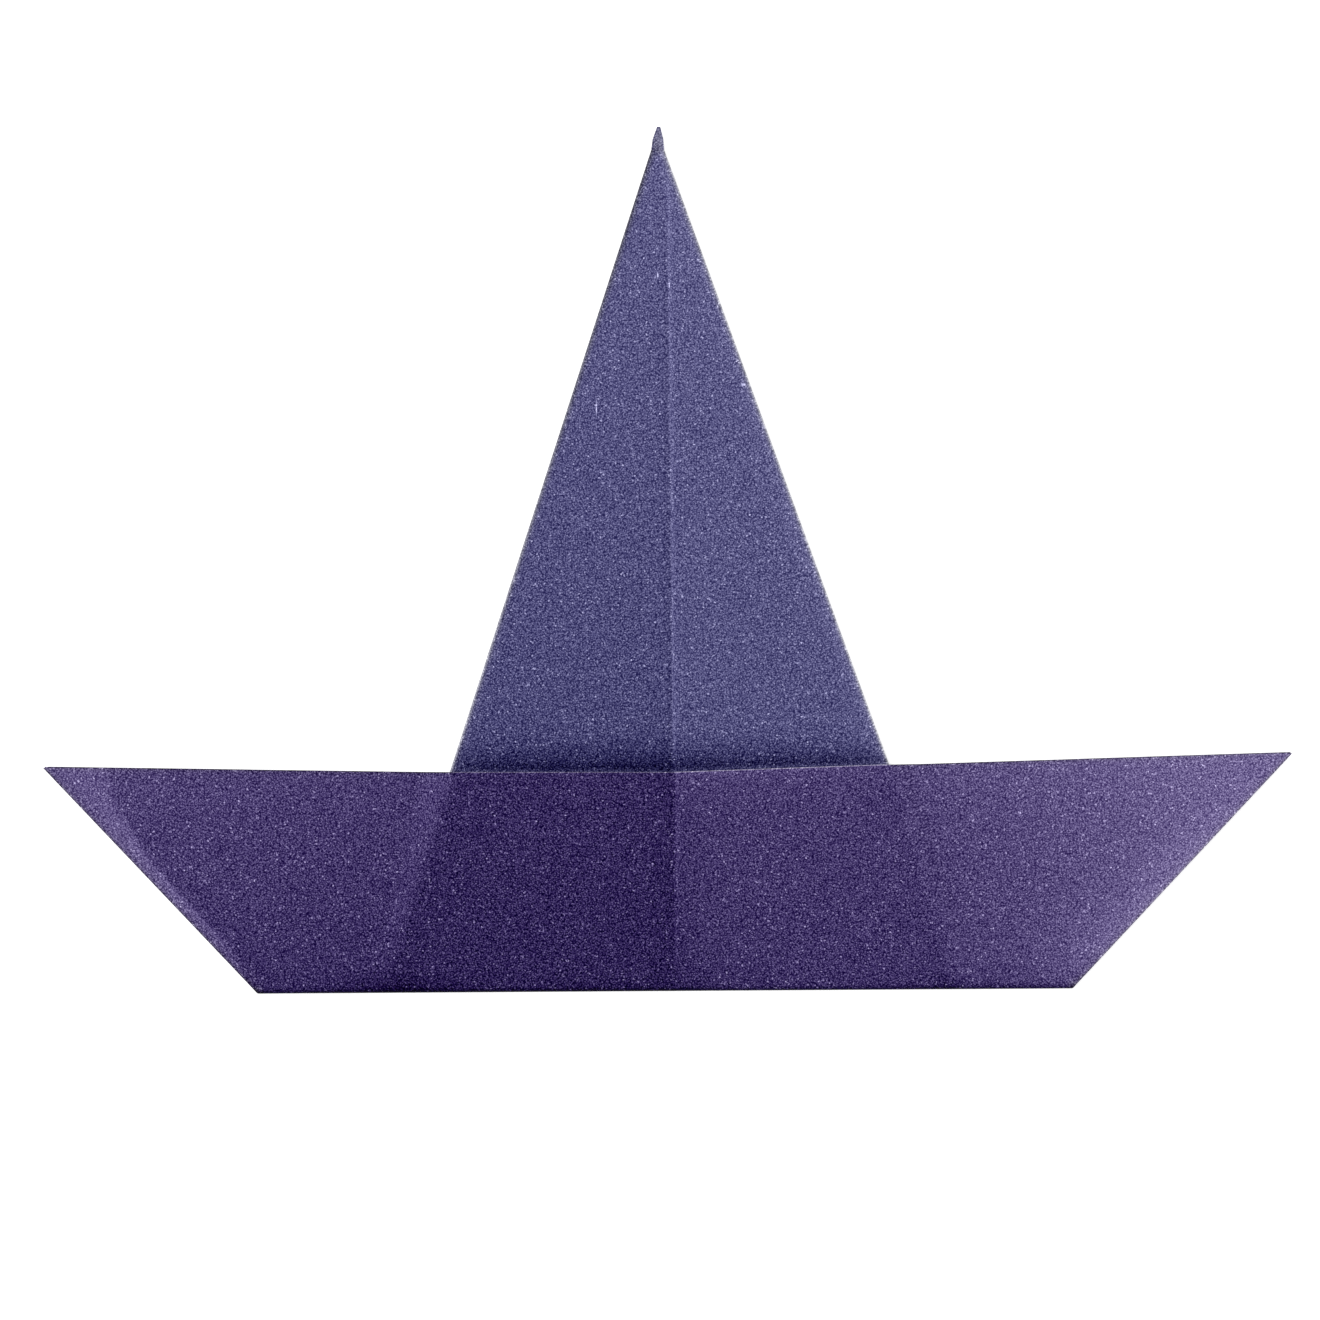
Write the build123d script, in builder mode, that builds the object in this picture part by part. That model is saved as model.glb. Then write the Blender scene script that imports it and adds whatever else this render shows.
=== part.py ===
"""A witch hat folded from one square sheet of paper, lying on its back.

X runs across the brim, Y from the brim to the point of the crown and Z up, out of the hat's front.
The origin is the centre of the hat's outline, on the surface that it lies on. Millimetres.
"""
from build123d import *
from math import sqrt
import os

# The sheet. Folded on its diagonal, the square is as high as half of that diagonal.
sheet_side = 150.0
paper = 0.12
spring_gap = 0.06
crown_spring = 0.2

# The brim, seen from the front. The hat is folded by hand, so left and right differ a little.
brim_half_span = 76.3
brim_bottom_left = 50.65
brim_bottom_right = 50.05
left_tip_height = 27.8
right_tip_height = 29.6
brim_middle_height = 27.15
brim_bottom_rise = 0.65

# The edges of the crown where they meet the bottom fold, and its point, with a small pinched nib.
crown_base_left = 35.2
crown_base_right = 36.95
nib_shift = -1.2
nib_length = 2.9
nib_half_width = 0.83
point_shift = -1.08
point_half_width = 0.2

# The centre crease is a fine valley along the crown and the brim, from the sheet's first fold.
crease_base_x = 0.9
crease_top_x = 0.0
crease_half_width = 0.7
crease_depth = 0.14
crease_end_below_point = 9.0

# How far the brim springs forward along its top edge: over the crown, and beside it.
brim_lift_over_crown = 1.35
brim_lift_at_ends = 0.65
ramp_width = 3.4

# The crown's side flaps meet on the back and pass each other at the centre.
flap_corner_height = 34.9
flap_overlap = 9.4

# Folds that meet in a corner stop this far short of it. The side folds run on beside the nib.
corner_relief = 0.5
nib_overlap = 0.3

UP = Vector(0, 0, 1)
AWAY = Vector(0, 1, 0)

# Levels of the layers' backs where they are pressed together, from the surface upwards. The
# crown's face springs off the flaps behind it, which leaves its crease room.
layer_step = paper + spring_gap
rear_corner_level = 0.0
left_flap_level = layer_step
right_flap_level = 2 * layer_step
crown_level = right_flap_level + layer_step + crown_spring
hidden_strip_level = crown_level + layer_step
brim_level = hidden_strip_level + layer_step
end_flap_level = hidden_strip_level - layer_step
end_tuck_level = hidden_strip_level - 2 * layer_step

# Outer radii of the folds: one of two layers pressed together, and one round the whole hat.
pressed_radius = (layer_step + paper) / 2
bottom_radius = (brim_level + paper) / 2
left_side_radius = (crown_level + paper - left_flap_level) / 2
right_side_radius = (crown_level + paper - right_flap_level) / 2

hat_height = sheet_side / sqrt(2)
hat_bottom = -hat_height / 2
hat_top = hat_height / 2


def on_line(start, end, x):
    """The point of a straight line, seen from the front, at one place across the hat."""
    share = (x - start.X) / (end.X - start.X)
    return start + (end - start) * share


def outward_of(start, end):
    """The level direction square to a fold line, on its right-hand side."""
    return (end - start).cross(UP).normalized()


# The bottom fold, where the front of the brim turns to the back.
bottom_left = Vector(-brim_bottom_left, hat_bottom + bottom_radius)
bottom_right = Vector(brim_bottom_right, hat_bottom + bottom_radius + brim_bottom_rise)
bottom_middle = on_line(bottom_left, bottom_right, crease_base_x)

# The brim's top fold.
left_tip = Vector(-brim_half_span, hat_bottom + left_tip_height - pressed_radius)
right_tip = Vector(brim_half_span, hat_bottom + right_tip_height - pressed_radius)
top_middle = Vector(crease_base_x, hat_bottom + brim_middle_height - pressed_radius)


def crown_side(base_x, nib_x, radius):
    """One side of the crown: its fold line's foot and top, and the top of the edge the fold makes."""
    foot = on_line(bottom_left, bottom_right, base_x)
    nib = Vector(nib_x, hat_top - nib_length)
    inward = outward_of(foot, nib) if base_x < 0 else outward_of(nib, foot)
    inset = radius / inward.X
    foot = on_line(bottom_left, bottom_right, base_x + inset)
    nib = nib + Vector(inset, 0)
    return foot, nib, nib - inward * radius


# The crown's outline. Its side folds run from the bottom fold to the nib.
left_side = crown_side(-crown_base_left, nib_shift - nib_half_width, left_side_radius)
right_side = crown_side(crown_base_right, nib_shift + nib_half_width, right_side_radius)
crown_foot_left, nib_left, nib_edge_left = left_side
crown_foot_right, nib_right, nib_edge_right = right_side
crown_point = Vector(point_shift, hat_top)
point_left = crown_point - Vector(point_half_width, 0)
point_right = crown_point + Vector(point_half_width, 0)


def crown_side_x(foot, y):
    """Where a side of the crown passes a height, going straight from its foot to the nib."""
    nib = nib_left if foot.X < 0 else nib_right
    return foot.X + (nib.X - foot.X) * (y - foot.Y) / (nib.Y - foot.Y)


# The brim's top edge bends down beside the crown, in a ramp that narrows to the bottom fold.
ramp_in_left = Vector(crown_side_x(crown_foot_left, top_middle.Y), top_middle.Y)
ramp_out_left = ramp_in_left + Vector(-ramp_width, 0)
ramp_in_right = on_line(top_middle, right_tip, crown_side_x(crown_foot_right, top_middle.Y))
ramp_out_right = on_line(top_middle, right_tip, ramp_in_right.X + ramp_width)


def raised(point, level, lift):
    """A point of a brim layer that tilts forward from the bottom fold, by lift at the top edge."""
    rise = point.Y - on_line(bottom_left, bottom_right, point.X).Y
    full_rise = top_middle.Y - bottom_middle.Y
    return Vector(point.X, point.Y, level + lift * rise / full_rise)


def facet(*corners):
    """A flat stretch of the sheet. The corners lie on its back."""
    first_side = corners[1] - corners[0]
    last_side = corners[-1] - corners[0]
    plane = Plane(corners[0], x_dir=first_side, z_dir=first_side.cross(last_side))
    with BuildPart() as flat:
        with BuildSketch(plane):
            with BuildLine():
                Polyline(*[plane.to_local_coords(corner) for corner in corners], close=True)
            make_face()
        extrude(amount=paper, dir=UP)
    return flat.part


def bend(start, end, radius, outward):
    """The sheet turning over a fold. The line from start to end lies on the lower layer's back."""
    along = end - start
    section = Plane(start + UP * radius, x_dir=outward, z_dir=outward.cross(UP))
    with BuildPart() as bent:
        with BuildSketch(section):
            Circle(radius)
            Circle(radius - paper, mode=Mode.SUBTRACT)
            Rectangle(2 * radius, 2 * radius, align=(Align.MAX, Align.CENTER), mode=Mode.SUBTRACT)
        extrude(amount=along.length, dir=along.normalized())
    return bent.part


def shortened(start, end):
    """A fold line without the corners where it meets other folds."""
    step = (end - start).normalized() * corner_relief
    return start + step, end - step


def brim_layer(level, left_top, right_top, left_foot, right_foot):
    """A layer as wide as the brim, with its tilted sheets, both ramps and the centre crease."""
    over, beside = brim_lift_over_crown, brim_lift_at_ends
    foot_left = raised(crown_foot_left, level, 0)
    foot_right = raised(crown_foot_right, level, 0)
    foot_middle = raised(bottom_middle, level, 0)
    beside_crease = on_line(ramp_in_left, top_middle, top_middle.X - crease_half_width)
    crease_left = raised(beside_crease, level, over)
    beside_crease = on_line(top_middle, right_tip, top_middle.X + crease_half_width)
    crease_right = raised(beside_crease, level, over)
    crease_top = raised(top_middle, level, over) - UP * crease_depth
    in_left, out_left = raised(ramp_in_left, level, over), raised(ramp_out_left, level, beside)
    in_right, out_right = raised(ramp_in_right, level, over), raised(ramp_out_right, level, beside)
    tip_left, tip_right = raised(left_top, level, beside), raised(right_top, level, beside)
    end_left, end_right = raised(left_foot, level, 0), raised(right_foot, level, 0)
    facets = [
        facet(end_left, foot_left, out_left, tip_left),
        facet(foot_left, in_left, out_left),
        facet(foot_left, foot_middle, crease_left, in_left),
        facet(foot_middle, crease_top, crease_left),
        facet(foot_middle, crease_right, crease_top),
        facet(foot_middle, foot_right, in_right, crease_right),
        facet(foot_right, out_right, in_right),
        facet(foot_right, end_right, tip_right, out_right),
    ]
    left_edge = [tip_left, out_left, in_left, crease_left]
    right_edge = [crease_right, in_right, out_right, tip_right]
    return facets, left_edge + [crease_top] + right_edge


def end_flaps(tip, foot, ramp_out):
    """The sheet's side corner behind one end of the brim, folded back and then down again."""
    inner = on_line(tip, ramp_out, foot.X)
    lift = brim_lift_at_ends
    pieces = []
    for level in (end_flap_level, end_tuck_level):
        pieces.append(facet(raised(tip, level, lift), raised(foot, level, 0), raised(inner, level, lift)))
    end_line = [raised(foot, end_flap_level, 0), raised(tip, end_flap_level, lift)]
    if tip.X < 0:
        end_line.reverse()
    start, end = shortened(*end_line)
    pieces.append(bend(start, end, pressed_radius, outward_of(start, end)))
    start, end = shortened(raised(tip, end_tuck_level, lift), raised(inner, end_tuck_level, lift))
    pieces.append(bend(start, end, pressed_radius, AWAY))
    return pieces


def level_facet(level, *corners):
    """A stretch of the sheet that lies level."""
    return facet(*[corner + UP * level for corner in corners])


def crown_face():
    """The crown's face. Its crease is deepest where the brim's edge crosses it."""
    crease_end = Vector(crease_top_x, hat_top - crease_end_below_point)
    share = (top_middle.Y - bottom_middle.Y) / (crease_end.Y - bottom_middle.Y)
    crossing = bottom_middle + (crease_end - bottom_middle) * share
    brink_left = crossing - Vector(crease_half_width, 0)
    brink_right = crossing + Vector(crease_half_width, 0)
    valley = crossing - UP * crease_depth
    crease_line = [bottom_middle, brink_left, crease_end, crown_point]
    left_half = [crown_foot_left, *crease_line, point_left, nib_edge_left, nib_left]
    crease_line = [crown_point, crease_end, brink_right, bottom_middle]
    right_half = [crown_foot_right, nib_right, nib_edge_right, point_right, *crease_line]
    return [
        level_facet(crown_level, *left_half),
        level_facet(crown_level, *right_half),
        level_facet(crown_level, bottom_middle, valley, brink_left),
        level_facet(crown_level, bottom_middle, brink_right, valley),
        level_facet(crown_level, crease_end, brink_left, valley),
        level_facet(crown_level, crease_end, valley, brink_right),
    ]


def side_flaps():
    """The crown's two sides, folded behind it. The left one lies behind the right one."""
    height = hat_bottom + flap_corner_height
    left_corner = Vector(crease_base_x + flap_overlap, height)
    right_corner = Vector(crease_base_x - flap_overlap, height)
    _, left_end = shortened(nib_left, crown_foot_left)
    left_top = nib_left + (nib_left - crown_foot_left).normalized() * nib_overlap
    left_fold = [point + UP * left_flap_level for point in (left_top, left_end)]
    right_start, _ = shortened(crown_foot_right, nib_right)
    right_top = nib_right + (nib_right - crown_foot_right).normalized() * nib_overlap
    right_fold = [point + UP * right_flap_level for point in (right_start, right_top)]
    return [
        level_facet(left_flap_level, crown_foot_left, left_corner, nib_left),
        level_facet(right_flap_level, crown_foot_right, nib_right, right_corner),
        bend(*left_fold, left_side_radius, outward_of(*left_fold)),
        bend(*right_fold, right_side_radius, outward_of(*right_fold)),
    ]


def bottom_fold():
    """The fold along the bottom. Its ends are slanted, because the sheet's edges run on round it."""
    with BuildPart() as fold:
        add(bend(bottom_left, bottom_right, bottom_radius, outward_of(bottom_left, bottom_right)))
        with BuildSketch():
            with BuildLine():
                beyond_left, beyond_right = bottom_left * 2 - left_tip, bottom_right * 2 - right_tip
                Polyline(bottom_left, beyond_left, beyond_right, bottom_right, close=True)
            make_face()
        extrude(amount=2 * bottom_radius, mode=Mode.INTERSECT)
    return fold.part


def rear_corner():
    """The sheet's front corner, turned round the bottom fold. The hat lies on it."""
    half_fold = (bottom_right - bottom_left) / 2
    corner = bottom_left + half_fold + UP.cross(half_fold)
    return [level_facet(rear_corner_level, bottom_left, bottom_right, corner), bottom_fold()]


def brim():
    """The brim's panel and the hidden strip behind it, joined by the fold along the top edge."""
    panel, _ = brim_layer(brim_level, left_tip, right_tip, bottom_left, bottom_right)
    strip_corners = [strip_tip_left, strip_tip_right, strip_foot_left, strip_foot_right]
    strip, top_edge = brim_layer(hidden_strip_level, *strip_corners)
    top_fold = [bend(start, end, pressed_radius, AWAY) for start, end in zip(top_edge, top_edge[1:])]
    base_line = [point + UP * crown_level for point in shortened(crown_foot_left, crown_foot_right)]
    base_fold = bend(*base_line, pressed_radius, outward_of(*base_line))
    return panel + strip + top_fold + [base_fold]


# The hidden strip stops short of the brim's ends by the fold that turns it to the back there.
end_inset = pressed_radius * sqrt(2)
strip_tip_left = on_line(left_tip, ramp_out_left, left_tip.X + end_inset)
strip_tip_right = on_line(top_middle, right_tip, right_tip.X - end_inset)
strip_foot_left = on_line(bottom_left, bottom_right, bottom_left.X + end_inset)
strip_foot_right = on_line(bottom_left, bottom_right, bottom_right.X - end_inset)

stretches = brim() + crown_face() + side_flaps() + rear_corner()
stretches += end_flaps(strip_tip_left, strip_foot_left, ramp_out_left)
stretches += end_flaps(strip_tip_right, strip_foot_right, ramp_out_right)

with BuildPart() as folded_sheet:
    add(stretches)

folded_sheet.part.label = "folded_sheet"
os.makedirs("parts", exist_ok=True)
export_step(folded_sheet.part, "parts/folded_sheet.step")
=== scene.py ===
import bpy
import bmesh
import math
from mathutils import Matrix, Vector, noise
from mathutils.geometry import delaunay_2d_cdt


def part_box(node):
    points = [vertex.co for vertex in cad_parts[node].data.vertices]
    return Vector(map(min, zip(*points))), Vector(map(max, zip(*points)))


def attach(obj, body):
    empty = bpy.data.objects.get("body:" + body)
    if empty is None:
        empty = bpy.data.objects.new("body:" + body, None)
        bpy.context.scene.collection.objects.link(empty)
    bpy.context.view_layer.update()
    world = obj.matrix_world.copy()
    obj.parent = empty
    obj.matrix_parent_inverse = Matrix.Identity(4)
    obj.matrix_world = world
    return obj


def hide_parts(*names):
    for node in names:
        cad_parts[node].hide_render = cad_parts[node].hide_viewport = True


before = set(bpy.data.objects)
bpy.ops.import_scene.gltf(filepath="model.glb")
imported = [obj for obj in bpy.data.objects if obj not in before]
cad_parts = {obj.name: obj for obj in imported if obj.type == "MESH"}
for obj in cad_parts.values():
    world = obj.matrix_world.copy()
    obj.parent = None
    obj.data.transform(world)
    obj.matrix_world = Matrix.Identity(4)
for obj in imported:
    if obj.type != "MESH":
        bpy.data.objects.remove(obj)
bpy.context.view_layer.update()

# Lengths are in millimetres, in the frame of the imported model, and MM turns them to metres.
MM = 0.001
hat_low, hat_high = (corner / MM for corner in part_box("folded_sheet"))
hat_bottom, hat_top = hat_low.y, hat_high.y

# The sheet, and the levels of its layers above the table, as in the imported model.
paper = 0.12
layer_step = 0.18
crown_spring = 0.2
rear_level = 0.0
left_flap_level = layer_step
right_flap_level = 2 * layer_step
crown_level = right_flap_level + layer_step + crown_spring
strip_level = crown_level + layer_step
brim_level = strip_level + layer_step
end_flap_level = strip_level - layer_step
end_tuck_level = strip_level - 2 * layer_step

# The brim, seen from the front.
brim_bottom_left = 50.65
brim_bottom_right = 50.05
brim_bottom_rise = 0.65
left_tip_height = 27.8
right_tip_height = 29.6
brim_middle_height = 27.15
top_bow = 0.2
corner_relief = 0.5

# The crown, seen from the front, with the nib at its point, its centre crease and its side flaps.
crown_base_left = 35.2
crown_base_right = 36.95
nib_shift = -1.2
nib_length = 2.9
nib_half_width = 0.83
nib_bulge_left = 0.16
nib_bulge_right = 0.1
nib_bulge_place = 0.45
point_shift = -1.08
point_half_width = 0.2
crease_base_x = 0.9
crease_top_x = 0.0
flap_corner_height = 34.9
flap_overlap = 9.4

# How far the brim stands forward, over the crown and beside it, and the ramps between the two.
lift_over_crown = 1.35
lift_beside_crown = 0.65
ramp_width = 3.4
ramp_foot_width = 1.5

# The soft shapes that the folds leave in the paper. On the crown the crease and the waves fade out where
# a half is less than a share of the base wide, and a half narrower than crown_narrow_half is plain.
crease_depth = 0.14
crease_width = 0.42
crown_pillow = 0.28
crown_narrow_share = 0.25
crown_narrow_half = 0.3
wave_height = 0.05
wave_length = 17.0
brim_wave_seed = 1.0
crown_wave_seed = 2.0

# The strip at the brim's left end that bends down. It starts narrow at the foot and is wide at the tip.
end_strip_foot = 0.1
end_strip_start = 1.2
end_strip_start_rise = 0.25
end_strip_reach = 13.0
end_strip_reach_from = 0.3
end_strip_softness = 0.35
end_strip_drop = 0.22

# The mesh, and the lines that it follows beside creases, ramps and edges.
spacing = 1.25
clear_share = 0.45
fold_steps = 6
slant_reach = 3.0
crease_offsets = (-1.2, -0.7, -0.35, -0.15, 0.05, 0.25, 0.5, 1.0)
crease_line_start = 0.6
crease_line_end = 6.5
crease_line_narrowing = 0.6
ramp_shares = (-0.35, -0.15, 0.05, 0.35, 0.65, 0.82, 1.0, 1.2)
edge_insets = (0.2, 0.45)
bottom_inset_factor = 2
side_insets = (0.2, 0.6)
side_line_overlap = 2.0
contact_rows = (-0.3, 0.1, 0.35, 0.7, 1.1)
row_end_gap = 1.0
edge_end_gap = 1.5
end_line_steps = 16
end_line_gap = 0.3
plan_tolerance = 1e-5
weld_distance = 0.004
sharp_angle = 38.0

pressed_radius = (layer_step + paper) / 2
bottom_radius = (brim_level + paper) / 2
left_side_radius = (crown_level + paper - left_flap_level) / 2
right_side_radius = (crown_level + paper - right_flap_level) / 2


def mix(a, b, share):
    return a + (b - a) * share


def clamped(share):
    return min(max(share, 0.0), 1.0)


def smooth(share):
    """0 to 1 with soft ends."""
    share = clamped(share)
    return share * share * (3 - 2 * share)


def between(value, start, end):
    """0 up to a start and 1 from an end on, with a soft change from the one to the other."""
    return smooth((value - start) / (end - start))


def bump(distance, width):
    """1 on a line, and 0 well beside it."""
    return math.exp(-((distance / width) ** 2))


def on_line(start, end, x):
    """The point of a straight line at one place across the hat."""
    return mix(start, end, (x - start.x) / (end.x - start.x))


def right_of(start, end):
    """The direction square to a line, on its right-hand side."""
    along = (end - start).normalized()
    return Vector((along.y, -along.x))


def distance_from(start, end, x, y):
    """How far a point is from a line, on its right-hand side."""
    return (Vector((x, y)) - start).dot(right_of(start, end))


bottom_left = Vector((-brim_bottom_left, hat_bottom + bottom_radius))
bottom_right = Vector((brim_bottom_right, hat_bottom + bottom_radius + brim_bottom_rise))
bottom_middle = on_line(bottom_left, bottom_right, crease_base_x)

left_tip = Vector((hat_low.x, hat_bottom + left_tip_height - pressed_radius))
right_tip = Vector((hat_high.x, hat_bottom + right_tip_height - pressed_radius))
top_middle = Vector((crease_base_x, hat_bottom + brim_middle_height - pressed_radius))

crown_point = Vector((point_shift, hat_top))
point_left = crown_point - Vector((point_half_width, 0))
point_right = crown_point + Vector((point_half_width, 0))


def crown_side(base_x, nib_x, radius):
    """One side of the crown: its fold line's foot and top, and the top of the edge the fold makes."""
    foot = on_line(bottom_left, bottom_right, base_x)
    nib = Vector((nib_x, hat_top - nib_length))
    inward = right_of(foot, nib) * (1 if base_x < 0 else -1)
    inset = radius / inward.x
    foot = on_line(bottom_left, bottom_right, base_x + inset)
    nib = nib + Vector((inset, 0))
    return foot, nib, nib - inward * radius


left_parts = crown_side(-crown_base_left, nib_shift - nib_half_width, left_side_radius)
right_parts = crown_side(crown_base_right, nib_shift + nib_half_width, right_side_radius)
foot_left, nib_left, nib_edge_left = left_parts
foot_right, nib_right, nib_edge_right = right_parts


def side_x(foot, nib, y):
    """Where a side of the crown passes a height."""
    return mix(foot.x, nib.x, (y - foot.y) / (nib.y - foot.y))


# The ramps' two ends on the brim's top fold.
ramp_in_left = Vector((side_x(foot_left, nib_left, top_middle.y), top_middle.y))
ramp_out_left = ramp_in_left - Vector((ramp_width, 0))
ramp_in_right = on_line(top_middle, right_tip, side_x(foot_right, nib_right, top_middle.y))
ramp_out_right = on_line(top_middle, right_tip, ramp_in_right.x + ramp_width)

# The strip behind the brim ends a little inside it, so that its folds stay hidden. The ends slope by
# about 45 degrees, and the inset is measured across the hat.
end_inset = pressed_radius * math.sqrt(2)
strip_tip_left = on_line(left_tip, ramp_out_left, left_tip.x + end_inset)
strip_tip_right = on_line(top_middle, right_tip, right_tip.x - end_inset)
strip_foot_left = on_line(bottom_left, bottom_right, bottom_left.x + end_inset)
strip_foot_right = on_line(bottom_left, bottom_right, bottom_right.x - end_inset)


def bottom_y(x):
    """The brim's bottom fold."""
    return on_line(bottom_left, bottom_right, x).y


def top_y(x):
    """The brim's top fold. It falls a little from the left tip, and rises in a bow to the right one."""
    if x < ramp_out_left.x:
        return on_line(left_tip, ramp_out_left, x).y
    if x < top_middle.x:
        return top_middle.y
    share = min((x - top_middle.x) / (ramp_out_right.x - top_middle.x), 1.0)
    return on_line(top_middle, right_tip, x).y + top_bow * math.sin(math.pi * share)


def crease_x(y):
    """The centre crease runs through the brim and the crown."""
    return mix(crease_base_x, crease_top_x, (y - hat_bottom) / (hat_top - hat_bottom))


def brim_rise(x, y):
    """0 at the brim's bottom fold and 1 at its top fold."""
    return clamped((y - bottom_y(x)) / (top_y(x) - bottom_y(x)))


def crown_rise(y):
    """0 at the brim's top fold and 1 at the crown's point."""
    return clamped((y - top_middle.y) / (hat_top - top_middle.y))


def outside_crown(x, y):
    """How far a point of the brim is outside the crown's side behind it: left and right."""
    left = side_x(foot_left, nib_left, y) - x
    right = x - side_x(foot_right, nib_right, y)
    return left, right


def waves(x, y, seed):
    """Slow waves of the paper, from -1 to 1."""
    return noise.noise(Vector((x / wave_length, y / wave_length, seed)))


def end_strip_width(y):
    """How wide the strip is that bends down at the left end."""
    rise = clamped((y - bottom_left.y) / (left_tip.y - bottom_left.y))
    low_part = end_strip_start * between(rise, 0.0, end_strip_start_rise)
    return end_strip_foot + low_part + end_strip_reach * max(rise - end_strip_reach_from, 0.0) ** 3


def brim_shape(x, y):
    """How far the brim stands forward of its pressed level."""
    height = brim_rise(x, y)
    width = mix(ramp_foot_width, ramp_width, height)
    lift = mix(lift_over_crown, lift_beside_crown, between(max(outside_crown(x, y)), 0.0, width))
    valley = crease_depth * bump(x - crease_x(y), crease_width)
    from_end = distance_from(bottom_left, left_tip, x, y)
    drop = end_strip_drop * (1 - between(from_end, 0.0, end_strip_width(y)))
    return (lift - valley - drop + wave_height * waves(x, y, brim_wave_seed)) * height


def crown_shape(x, y):
    """The crown's face: each half is a low pillow between its side fold and the crease."""
    middle = crease_x(y)
    foot, nib = (foot_left, nib_left) if x < middle else (foot_right, nib_right)
    half = side_x(foot, nib, y) - middle
    share = clamped((x - middle) / half) if abs(half) > crown_narrow_half else 1.0
    width = min(abs(half) / abs(foot_left.x), 1.0)
    pillow = crown_pillow * width * 4 * share * (1 - share)
    valley = crease_depth * bump(x - middle, crease_width)
    ripple = wave_height * waves(x, y, crown_wave_seed) - valley
    free = between(y, bottom_middle.y, top_middle.y)
    return free * (pillow + ripple * (1 - share) * min(width / crown_narrow_share, 1.0))


def level_of(level, shape=None):
    """The height of a layer's middle as a function of the place."""
    def height(x, y):
        return level + paper / 2 + (shape(x, y) if shape else 0.0)
    return height


brim_height = level_of(brim_level, brim_shape)
strip_height = level_of(strip_level, brim_shape)
end_flap_height = level_of(end_flap_level, brim_shape)
end_tuck_height = level_of(end_tuck_level, brim_shape)
crown_height = level_of(crown_level, crown_shape)
left_flap_height = level_of(left_flap_level)
right_flap_height = level_of(right_flap_level)
rear_height = level_of(rear_level)

# Tones are the paper's grey level in a picture, from 0 to 255. The two hues are what the red, green
# and blue levels add to it. The pearly paper shows more blue on the crown and more violet on the brim.
levels = 255.0
crown_hue = Vector((-13.3, -14.7, 28.0))
brim_hue = Vector((-7.8, -19.4, 27.2))
back_tone = 90.0

# A value that ends in _line is a soft line of another tone: its gain, its place and its width. One that
# ends in _edge is an edge of another tone: its gain, and the width in which it fades out. One that ends
# in _turn says where a change starts and where it is complete.

# The crown's halves, with painted light and shade: the left half is painted darker than the right, and
# both are painted lighter towards the point. A painted highlight and a painted shade line lie beside the
# crease, and painted light lies along the right side. Gains are what the tone gains from the brim to the
# point.
crown_left_tone = 91.8
crown_left_gain = 21.5
crown_right_tone = 101.0
crown_right_gain = 12.0
crown_crease_turn = (-0.2, 0.2)
crown_painted_highlight_line = (20.0, 0.1, 0.2)
crown_painted_shade_line = (-3.0, -0.7, 0.6)
crown_right_edge = (24.0, 0.4)
crown_right_painted_light_low = 12.0
crown_right_painted_light_high = 2.0
crown_right_painted_light_width = 2.0
crown_left_edge_low = 20.0
crown_left_edge_high = -13.0
crown_left_edge_width = 0.4

# The painted shade on the crown where the brim stands off it. Its line takes a share of it away close to
# the brim, and its edge does so at the crown's sides.
contact_loss = 60.0
contact_power = 1.3
contact_width_left = 2.2
contact_width_right = 1.75
contact_width_turn = (0.0, 20.0)
contact_brim_line = (0.9, 0.15, 0.3)
contact_side_edge = (0.6, 4.0)

# The brim's panel in front of the crown, with painted light and shade: its left half is painted darker,
# and it is painted darker towards the bottom and beside the crease, with a painted highlight beside the
# crease, painted light under the top fold and painted shade at the foot. Falls are what the tone loses
# from the top to the bottom. Its halves meet beside the crease by a shift that changes from the top to the
# bottom.
panel_shift_top = -0.16
panel_shift_bottom = 0.26
panel_crease_turn = (-0.05, 0.25)
panel_crease_width = 2.5
panel_left_tone = 68.5
panel_left_fall = 8.0
panel_left_crease_loss = 8.0
panel_right_tone = 84.5
panel_right_fall = 5.0
panel_right_crease_loss = 7.0
panel_right_crease_fall = 8.0
panel_painted_highlight_line = (9.0, 0.42, 0.25)
panel_top_painted_light_edge = (12.0, 1.5)
panel_foot_painted_shade_line = (-6.0, 0.0, 7.0)
panel_foot_turn = (0.86, 0.96)

# The brim's left end, with painted light and shade: its ramp, painted lighter and with painted shade at
# its top, its flat part, painted lighter towards the tip, and the strip that bends down, painted lighter,
# with a painted dark rim and painted shade along the end. All of it is painted darker towards the bottom.
left_end_turn = (-0.85, 0.05)
ramp_left_tone = 91.5
ramp_left_fall = 22.0
ramp_left_top_painted_shade_edge = (-7.0, 0.1)
ramp_left_turn = (-0.6, 0.6)
end_left_tone = 83.8
end_left_gain = 11.0
end_left_fall = 15.0
end_strip_tone = 116.0
end_strip_fall = 22.0
end_strip_foot_turn = (0.0, 0.45)
end_strip_tip_loss = 6.0
end_strip_tip_turn = (0.7, 0.9)
end_strip_painted_shade_rim_edge = (-20.0, 0.2)
end_strip_shade_edge = (-6.0, 0.8)

# The brim's right end, with painted light and shade. It is painted paler towards the tip, but less from
# the bend on, and darker half-way down, with a painted highlight along its slanted edge and a painted
# shade line beside the ramp. The step between it and the panel lies further left and is softer towards the
# bottom.
right_end_shift = 0.15
right_end_lean = 1.3
right_end_turn_top = 0.7
right_end_turn_bottom = 3.0
end_right_tone = 96.2
end_right_gain = 34.0
end_right_bend = 0.8
end_right_bend_share = 0.3
end_right_fall = 5.5
end_right_painted_middle_shade = 24.0
end_right_painted_highlight_edge = (26.0, 3.5)
end_right_rim_turn = (0.0, 0.5)
end_right_foot_share = 0.6
end_right_foot_turn = (0.8, 1.0)
ramp_right_painted_shade_line = (-5.0, -1.0, 0.5)

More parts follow.
